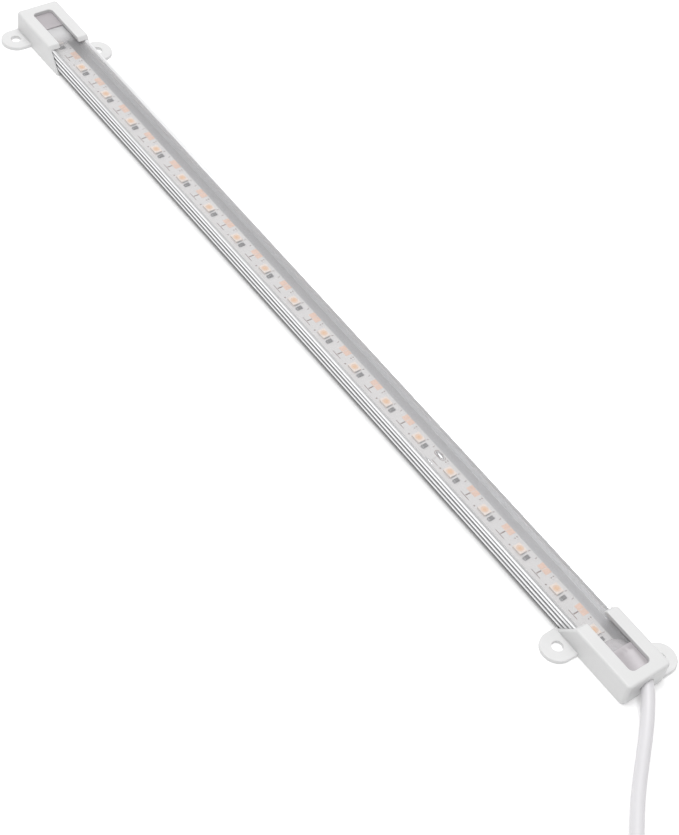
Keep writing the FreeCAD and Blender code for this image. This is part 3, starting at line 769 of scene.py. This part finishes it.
def build_oval(mesh, x, y, half_run, radius, wide, low, high):
    """A printed oval line: two straight runs along X and a half circle at each end."""
    for side in (-1, 1):
        slab(mesh, x, y + side * radius, 2 * half_run, wide, low, high)
        start = -90 if side > 0 else 90
        arc_strip(mesh, x + side * half_run, y, radius, wide, start, start + 180, low, high, 12)


def build_print(settings):
    """The printed marks: a T at each cutting line, and a bracket and dots at each light."""
    mesh = bmesh.new()
    low, high = BOARD_TOP, BOARD_TOP + settings.ink_thickness
    line = settings.line_width
    for unit, node in enumerate(RESISTOR_NODES):
        x = middle_of(node).x
        half, top = BRACKET_HALF_LENGTH * MM, BRACKET_TOP * MM
        corner_radius = BRACKET_CORNER * MM
        slab(mesh, x, top, 2 * half, line, low, high)
        for side, start in ((-1, 90), (1, 0)):
            corner = x + side * half
            middle = top - corner_radius
            arc_strip(mesh, corner, middle, corner_radius, line, start, start + 90, low, high)
            slab(mesh, corner + side * corner_radius, 1.95 * MM, line, 0.4 * MM, low, high)
        for along, across, radius in PRINT_DOTS:
            disc(mesh, x + along * MM, across * MM, radius * MM, low, high)
        along, across, run = PRINT_BAR
        slab(mesh, x + along * MM, across * MM, 1.6 * line, run * MM, low, high)
        cut, mark = x - CUT_LINE_BEFORE_RESISTOR, CUT_MARK_ACROSS * MM
        if unit and unit != UNITS_BEFORE_SPLICE:
            slab(mesh, cut, mark, 3.9 * MM, 1.1 * line, low, high)
            slab(mesh, cut, -0.35 * MM, 2.0 * line, 1.9 * MM, low, high)
        else:
            slab(mesh, cut + 2.0 * MM, mark, 2.6 * MM, line, low, high)
    build_oval(mesh, BOARD_SPLICE, 1.65 * MM, 1.2 * MM, 0.95 * MM, line, low, high)
    return mesh


def build_tracks(settings):
    """The copper tracks under the solder mask, which stand a hair proud of the board."""
    mesh = bmesh.new()
    low, high = BOARD_TOP, BOARD_TOP + settings.trace_thickness
    for node in BOARD_NODES:
        start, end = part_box(node)[0].x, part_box(node)[1].x
        run = end - start - 2 * RAIL_SETBACK * MM
        for y in RAIL_PLACES:
            slab(mesh, (start + end) / 2, y * MM, run, RAIL_WIDTH * MM, low, high)
    for led, resistor in zip(LED_NODES, RESISTOR_NODES):
        light, chip = middle_of(led), middle_of(resistor)
        slab(mesh, (light.x + chip.x) / 2 + 0.4 * MM, light.y, 1.0 * MM, 1.5 * MM, low, high)
        pad = light.x - LIGHT_PAD_BEFORE * MM
        slab(mesh, pad, light.y, 1.5 * MM, 1.6 * MM, low, high)
        slab(mesh, pad, 1.6 * MM, 0.9 * MM, 1.9 * MM, low, high)
        slab(mesh, chip.x, -1.75 * MM, 1.2 * MM, 0.9 * MM, low, high)
    return mesh


def build_led_tabs(settings):
    """Solder fillets at both ends of each light package."""
    mesh = bmesh.new()
    for node in LED_NODES:
        low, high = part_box(node)
        y = (low.y + high.y) / 2
        for side, x in ((-1, low.x), (1, high.x)):
            wedge(
                mesh, x, y, settings.tab_length, settings.tab_width,
                BOARD_TOP, BOARD_TOP + 0.4 * MM, side,
            )
    return mesh


def build_terminals(settings):
    """A tinned wrap round both ends of each chip resistor."""
    mesh = bmesh.new()
    for node in RESISTOR_NODES:
        low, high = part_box(node)
        x = (low.x + high.x) / 2
        long = high.x - low.x + 2 * settings.wrap
        for side, y in ((1, low.y), (-1, high.y)):
            near, far = y - side * settings.wrap, y + side * settings.terminal_reach
            slab(
                mesh, x, (near + far) / 2, long, abs(far - near),
                low.z + 0.01 * MM, high.z + settings.wrap,
            )
    return mesh


def build_resistor_solder():
    """Solder in front of both ends of each chip resistor."""
    mesh = bmesh.new()
    for node in RESISTOR_NODES:
        low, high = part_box(node)
        x = (low.x + high.x) / 2
        for y in (low.y - 0.16 * MM, high.y + 0.16 * MM):
            slab(mesh, x, y, 1.1 * MM, 0.34 * MM, BOARD_TOP, BOARD_TOP + 0.14 * MM)
    return mesh


def build_sealant(node, reach, rise):
    """The sealant that fills a cap's end, with a soft front that runs on over the board.

    The front is a quarter of a flattened ball, round from above and from the side.
    """
    mesh = bmesh.new()
    low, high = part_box(node)
    middle = (low + high) / 2
    slab(mesh, middle.x, middle.y, high.x - low.x, high.y - low.y, low.z, high.z)
    gap = 0.01 * MM
    half_width = 6.2 * MM
    bottom = BOARD_TOP + gap
    towards = -1.0 if middle.x > 0 else 1.0
    start = (low.x if middle.x > 0 else high.x) + towards * gap
    levels, steps = 6, 24
    rings = []
    for level in range(levels):
        lean = math.radians(90.0 * level / levels)
        ring = []
        for i in range(steps + 1):
            turn = math.radians(180.0 * i / steps)
            ring.append(mesh.verts.new((
                start + towards * reach * math.cos(lean) * math.sin(turn),
                -half_width * math.cos(lean) * math.cos(turn),
                bottom + rise * math.sin(lean),
            )))
        rings.append(ring)
    peak = mesh.verts.new((start, 0.0, bottom + rise))
    for lower, upper in zip(rings, rings[1:]):
        for i in range(steps):
            mesh.faces.new((lower[i], lower[i + 1], upper[i + 1], upper[i]))
    for i in range(steps):
        mesh.faces.new((rings[-1][i], rings[-1][i + 1], peak))
    mesh.faces.new(rings[0][::-1])
    mesh.faces.new([ring[0] for ring in rings] + [peak] + [ring[-1] for ring in rings[::-1]])
    bmesh.ops.recalc_face_normals(mesh, faces=mesh.faces)
    return mesh


# -------- cable


def lift_over_tie(angle, height):
    """How far a turn rises where the tie passes under the coil, less the higher it lies."""
    apart = (angle - TIE_ANGLE + 180.0) % 360.0 - 180.0
    give = 1.0 - (height - LOWEST_LINE) / LIFT_FADES_OVER
    return TIE_THICKNESS * give * math.exp(-((apart / LIFT_HALF_ANGLE) ** 2))


def turn_at(turning):
    """Radius and height of the coil's line after so much turning, in degrees."""
    radius, height = COIL_TURNS[0]
    for step, (next_radius, next_height) in enumerate(COIL_TURNS[1:]):
        start = FIRST_STEP_OVER + step * STEP_OVER_PITCH
        along = min(max((turning - start) / STEP_OVER_LENGTH, 0.0), 1.0)
        along = along * along * (3.0 - 2.0 * along)
        radius += (next_radius - COIL_TURNS[step][0]) * along
        height += (next_height - COIL_TURNS[step][1]) * along
    return radius, height


def coil_points():
    """Control points of the coil's turns, in millimetres."""
    step = 360.0 / COIL_POINTS_PER_TURN
    # A control point lies outside the curve that it draws.
    outside = 1.0 / (0.75 + 0.25 * math.cos(math.radians(step)))
    points = []
    for i in range(int(COIL_TURNING / step) + 1):
        turning = i * step
        angle = COIL_START_ANGLE + turning
        radius, height = turn_at(turning)
        radius *= outside
        points.append((
            COIL_CENTRE[0] + radius * math.cos(math.radians(angle)),
            COIL_CENTRE[1] + radius * math.sin(math.radians(angle)),
            height + lift_over_tie(angle, height),
        ))
    return points


def build_cable(settings):
    """The cable: one smooth line from the cap, through its put-away coil, to the plug."""
    points = LEAD_POINTS + coil_points() + TAIL_POINTS
    curve = bpy.data.curves.new("usb_cable", "CURVE")
    curve.dimensions = "3D"
    curve.resolution_u = 10
    curve.bevel_depth = settings.diameter / 2
    curve.bevel_resolution = 5
    curve.use_fill_caps = True
    spline = curve.splines.new("NURBS")
    spline.points.add(len(points) - 1)
    for point, place in zip(spline.points, points):
        point.co = (*(value * MM for value in place), 1.0)
    spline.order_u = 3
    spline.use_endpoint_u = True
    return new_object("usb_cable", curve)


def strap_outline(grow):
    """The tie's line so far off the turns: distances from the coil's axis, and heights."""
    out = CABLE_RADIUS + grow
    places = []
    for radius, height, start, end in TIE_CORNERS:
        for i in range(TIE_CORNER_STEPS):
            angle = math.radians(start + (end - start) * (i + 0.5) / TIE_CORNER_STEPS)
            places.append((radius + out * math.cos(angle), height + out * math.sin(angle)))
    return places


def join_rings(mesh, rings, following_rings):
    """Faces between each ring of corners and the one that follows it."""
    for ring, following in zip(rings, following_rings):
        for j in range(len(ring)):
            k = (j + 1) % len(ring)
            mesh.faces.new((ring[j], ring[k], following[k], following[j]))


def build_strap(settings):
    """The tie round the coil: a soft band with rounded edges and a lapped end."""
    mesh = bmesh.new()
    tie_angle = math.radians(TIE_ANGLE)
    along = Vector((math.cos(tie_angle), math.sin(tie_angle), 0.0))
    across = Vector((-along.y, along.x, 0.0))
    centre = Vector((*COIL_CENTRE, 0.0)) * MM

    def ring_at(place, wide, lift=0.0, thin=1.0):
        corners = []
        for side, grow in TIE_SECTION:
            radius, height = strap_outline(lift + thin * grow)[place]
            up = Vector((0.0, 0.0, height * MM))
            place_out = centre + along * radius * MM + up
            corners.append(mesh.verts.new(place_out + across * side * wide))
        return corners

    half = settings.strap_width / 2
    band = [ring_at(place, half) for place in range(len(TIE_CORNERS) * TIE_CORNER_STEPS)]
    join_rings(mesh, band, band[1:] + band[:1])
    lap = [ring_at(place, half * LAP_WIDTH, LAP_LIFT, LAP_THINNING) for place in TIE_LAP]
    join_rings(mesh, lap, lap[1:])
    mesh.faces.new(lap[0][::-1])
    mesh.faces.new(lap[-1])
    bmesh.ops.recalc_face_normals(mesh, faces=mesh.faces)
    return mesh


# -------- operators


class LIGHTBAR_OT_channel(bpy.types.Operator):
    """Finish the aluminium channel"""

    bl_idname = "light_bar.channel"
    bl_label = "Channel"

    def execute(self, context):
        finish_nodes(["aluminium_channel"], channel_material(context.scene.light_bar_channel))
        return {"FINISHED"}


class LIGHTBAR_OT_cover(bpy.types.Operator):
    """Finish the clear cover"""

    bl_idname = "light_bar.cover"
    bl_label = "Clear cover"

    def execute(self, context):
        settings = context.scene.light_bar_cover
        clear = clear_material(
            "clear_cover_plastic", settings.haze, cover_body(settings), settings.roughness,
            0.6 * MM, 0.006 * MM,
        )
        finish_nodes(["clear_cover"], clear)
        return {"FINISHED"}


class LIGHTBAR_OT_boards(bpy.types.Operator):
    """Finish the light boards, their tape, pads and solder, and add their tracks and print"""

    bl_idname = "light_bar.boards"
    bl_label = "Light boards"

    def execute(self, context):
        settings = context.scene.light_bar_board
        mask = moulded_material(
            "white_solder_mask", settings.mask, 0.34, grain=0.12 * MM, cloud=5 * MM,
            variation=0.05, depth=0.006 * MM,
        )
        ink = moulded_material("board_ink", settings.ink, 0.6, grain=0.05 * MM, variation=0.3)
        copper = moulded_material(
            "bare_copper", settings.copper, 0.4, grain=0.1 * MM, cloud=1.5 * MM, variation=0.14,
            metallic=0.25,
        )
        solder = metal_material(
            "solder", settings.solder, 0.16, 0.3 * MM, 0.3 * MM, depth=0.02 * MM
        )
        tape = moulded_material("adhesive_tape", settings.tape, 0.55, grain=0.2 * MM)
        finish_nodes(BOARD_NODES, mask)
        finish_nodes(["adhesive_tape"], tape)
        finish_nodes(["copper_pads"], copper)
        finish_nodes(["solder_joints"], solder)
        new_piece("board_print", build_print(settings), ink)
        new_piece("board_tracks", build_tracks(settings), mask, bevel=0.02 * MM)
        return {"FINISHED"}


class LIGHTBAR_OT_leds(bpy.types.Operator):
    """Finish the light-emitting diodes and add the solder at their ends"""

    bl_idname = "light_bar.leds"
    bl_label = "Light-emitting diodes"

    def execute(self, context):
        settings = context.scene.light_bar_led
        solder = context.scene.light_bar_board.solder
        package = moulded_material("led_package", settings.package, 0.4, 0.08 * MM, variation=0.05)
        finish_nodes(LED_NODES, package)
        finish_nodes(["led_phosphors"], phosphor_material(settings))
        tin = metal_material("led_solder", solder, 0.32, 0.2 * MM, 0.2 * MM, depth=0.02 * MM)
        new_piece("led_solder_fillets", build_led_tabs(settings), tin, bevel=0.03 * MM)
        return {"FINISHED"}


class LIGHTBAR_OT_resistors(bpy.types.Operator):
    """Finish the chip resistors and add their tinned ends"""

    bl_idname = "light_bar.resistors"
    bl_label = "Chip resistors"

    def execute(self, context):
        settings = context.scene.light_bar_resistor
        glaze = moulded_material("resistor_glaze", settings.glaze, 0.3, 0.1 * MM, variation=0.2)
        tin = metal_material(
            "tinned_end", settings.terminal, 0.34, 0.2 * MM, 0.2 * MM, depth=0.02 * MM
        )
        finish_nodes(RESISTOR_NODES, glaze)
        new_piece("resistor_ends", build_terminals(settings), tin, bevel=0.05 * MM)
        new_piece("resistor_solder", build_resistor_solder(), tin, bevel=0.06 * MM)
        return {"FINISHED"}


class LIGHTBAR_OT_caps(bpy.types.Operator):
    """Finish the end caps and the clear sealant inside them"""

    bl_idname = "light_bar.caps"
    bl_label = "End caps"

    def execute(self, context):
        settings = context.scene.light_bar_cap
        plastic = moulded_material(
            "cap_moulding", settings.plastic, settings.roughness, grain=settings.grain,
            depth=0.01 * MM,
        )
        sealant = clear_material(
            "clear_sealant", settings.sealant, settings.sealant_body, 0.22, 2.5 * MM, 0.15 * MM,
            ior=1.7,
        )
        finish_nodes(["end_cap_cable", "end_cap_plain"], plastic)
        reaches = {"seal_cable_end": settings.cable_reach, "seal_plain_end": settings.plain_reach}
        for node, reach in reaches.items():
            piece = new_piece(
                node.replace("seal", "sealant"), build_sealant(node, reach, settings.sealant_rise),
                sealant, bevel=0.12 * MM,
            )
            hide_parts(node)
        return {"FINISHED"}


class LIGHTBAR_OT_wires(bpy.types.Operator):
    """Finish the two wires inside the cable's cap"""

    bl_idname = "light_bar.wires"
    bl_label = "Wires"

    def execute(self, context):
        settings = context.scene.light_bar_wire
        tints = {"wire_negative": settings.negative, "wire_positive": settings.positive}
        for node, tint in tints.items():
            sleeve = moulded_material(f"{node}_sleeve", tint, 0.4, grain=0.15 * MM, variation=0.1)
            finish_nodes([node], sleeve)
        return {"FINISHED"}


class LIGHTBAR_OT_cable(bpy.types.Operator):
    """Lay the cable from the cap to its plug, and tie its coil"""

    bl_idname = "light_bar.cable"
    bl_label = "Cable and tie"

    def execute(self, context):
        settings = context.scene.light_bar_cable
        cable = build_cable(settings)
        cable.data.materials.append(moulded_material(
            "cable_sheath", settings.sheath, settings.roughness, grain=0.5 * MM, cloud=9 * MM,
            variation=0.04, depth=0.014 * MM,
        ))
        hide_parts("cable_lead", "cable_coil", "cable_tail")
        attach(cable, "root")
        strap = new_piece(
            "coil_tie", build_strap(settings), woven_material("soft_tie", settings.strap)
        )
        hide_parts("cable_tie")
        return {"FINISHED"}


class LIGHTBAR_OT_plug(bpy.types.Operator):
    """Finish the plug on the cable's end"""

    bl_idname = "light_bar.plug"
    bl_label = "Plug"

    def execute(self, context):
        settings = context.scene.light_bar_plug
        finish_nodes(["usb_plug_body"], moulded_material("plug_moulding", settings.moulding, 0.45))
        finish_nodes(["usb_plug_shell"], metal_material("nickel_plate", settings.shell, 0.22))
        finish_nodes(["usb_plug_tongue"], moulded_material("plug_tongue", settings.tongue, 0.4))
        finish_nodes(["usb_plug_contacts"], metal_material("gilt_contact", settings.contact, 0.25))
        return {"FINISHED"}


class LIGHTBAR_OT_stage(bpy.types.Operator):
    """Set up the pale floor, the lights and the camera"""

    bl_idname = "light_bar.stage"
    bl_label = "Stage"

    def execute(self, context):
        settings = context.scene.light_bar_stage
        scene = context.scene
        mesh = bmesh.new()
        bmesh.ops.create_grid(mesh, x_segments=1, y_segments=1, size=FLOOR_HALF_WIDTH)
        data = bpy.data.meshes.new("pale_floor")
        mesh.to_mesh(data)
        mesh.free()
        floor = new_object("pale_floor", data)
        paper = moulded_material(
            "pale_paper", settings.floor, 0.9, grain=1.0 * MM, variation=0.01, dust=0.0
        )
        shader = paper.node_tree.nodes["Principled BSDF"]
        shader.inputs["Emission Color"].default_value = (1.0, 1.0, 1.0, 1.0)
        shader.inputs["Emission Strength"].default_value = settings.glow
        data.materials.append(paper)

        world = bpy.data.worlds.new("even_light")
        world.use_nodes = True
        world.node_tree.nodes["Background"].inputs["Color"].default_value = (1.0, 1.0, 1.0, 1.0)
        world.node_tree.nodes["Background"].inputs["Strength"].default_value = settings.sky
        scene.world = world
        for name, power, side, place in (
            ("key_light", settings.key, KEY_LIGHT_SIDE, Vector(KEY_LIGHT_PLACE)),
            ("top_light", settings.top, TOP_LIGHT_SIDE, Vector(TOP_LIGHT_PLACE)),
        ):
            lamp = bpy.data.lights.new(name, "AREA")
            lamp.shape = "SQUARE"
            lamp.size = side
            lamp.energy = power
            light = new_object(name, lamp)
            light.location = place
            light.rotation_euler = (-place).to_track_quat("-Z", "Y").to_euler()

        camera_data = bpy.data.cameras.new("camera")
        camera_data.sensor_width = 36.0
        camera_data.lens = settings.lens
        camera_data.shift_x = settings.shift
        camera_data.clip_start = 0.01
        camera_data.clip_end = 20.0
        camera = new_object("camera", camera_data)
        camera.location = settings.camera_place
        camera.rotation_euler = settings.camera_turn
        scene.camera = camera
        scene.view_settings.view_transform = "Standard"
        return {"FINISHED"}


OPERATORS = [
    ("light_bar_channel", LIGHTBAR_OT_channel),
    ("light_bar_cover", LIGHTBAR_OT_cover),
    ("light_bar_board", LIGHTBAR_OT_boards),
    ("light_bar_led", LIGHTBAR_OT_leds),
    ("light_bar_resistor", LIGHTBAR_OT_resistors),
    ("light_bar_cap", LIGHTBAR_OT_caps),
    ("light_bar_wire", LIGHTBAR_OT_wires),
    ("light_bar_cable", LIGHTBAR_OT_cable),
    ("light_bar_plug", LIGHTBAR_OT_plug),
    ("light_bar_stage", LIGHTBAR_OT_stage),
]


class LIGHTBAR_PT_pieces(bpy.types.Panel):
    """The light bar's pieces and their settings"""

    bl_label = "Aquarium Light Bar"
    bl_idname = "LIGHTBAR_PT_pieces"
    bl_space_type = "VIEW_3D"
    bl_region_type = "UI"
    bl_category = "Light Bar"

    def draw(self, context):
        for group, operator in OPERATORS:
            column = self.layout.box().column()
            column.operator(operator.bl_idname)
            settings = getattr(context.scene, group)
            for name in type(settings).__annotations__:
                column.prop(settings, name)


def register():
    for group, settings in SETTINGS.items():
        bpy.utils.register_class(settings)
        setattr(bpy.types.Scene, group, bpy.props.PointerProperty(type=settings))
    for _, operator in OPERATORS:
        bpy.utils.register_class(operator)
    bpy.utils.register_class(LIGHTBAR_PT_pieces)


def unregister():
    bpy.utils.unregister_class(LIGHTBAR_PT_pieces)
    for _, operator in reversed(OPERATORS):
        bpy.utils.unregister_class(operator)
    for group, settings in reversed(SETTINGS.items()):
        delattr(bpy.types.Scene, group)
        bpy.utils.unregister_class(settings)


def main():
    """Build every piece in order."""
    register()
    bpy.ops.light_bar.channel()
    bpy.ops.light_bar.cover()
    bpy.ops.light_bar.boards()
    bpy.ops.light_bar.leds()
    bpy.ops.light_bar.resistors()
    bpy.ops.light_bar.caps()
    bpy.ops.light_bar.wires()
    bpy.ops.light_bar.cable()
    bpy.ops.light_bar.plug()
    bpy.ops.light_bar.stage()


if __name__ == "__main__":
    main()
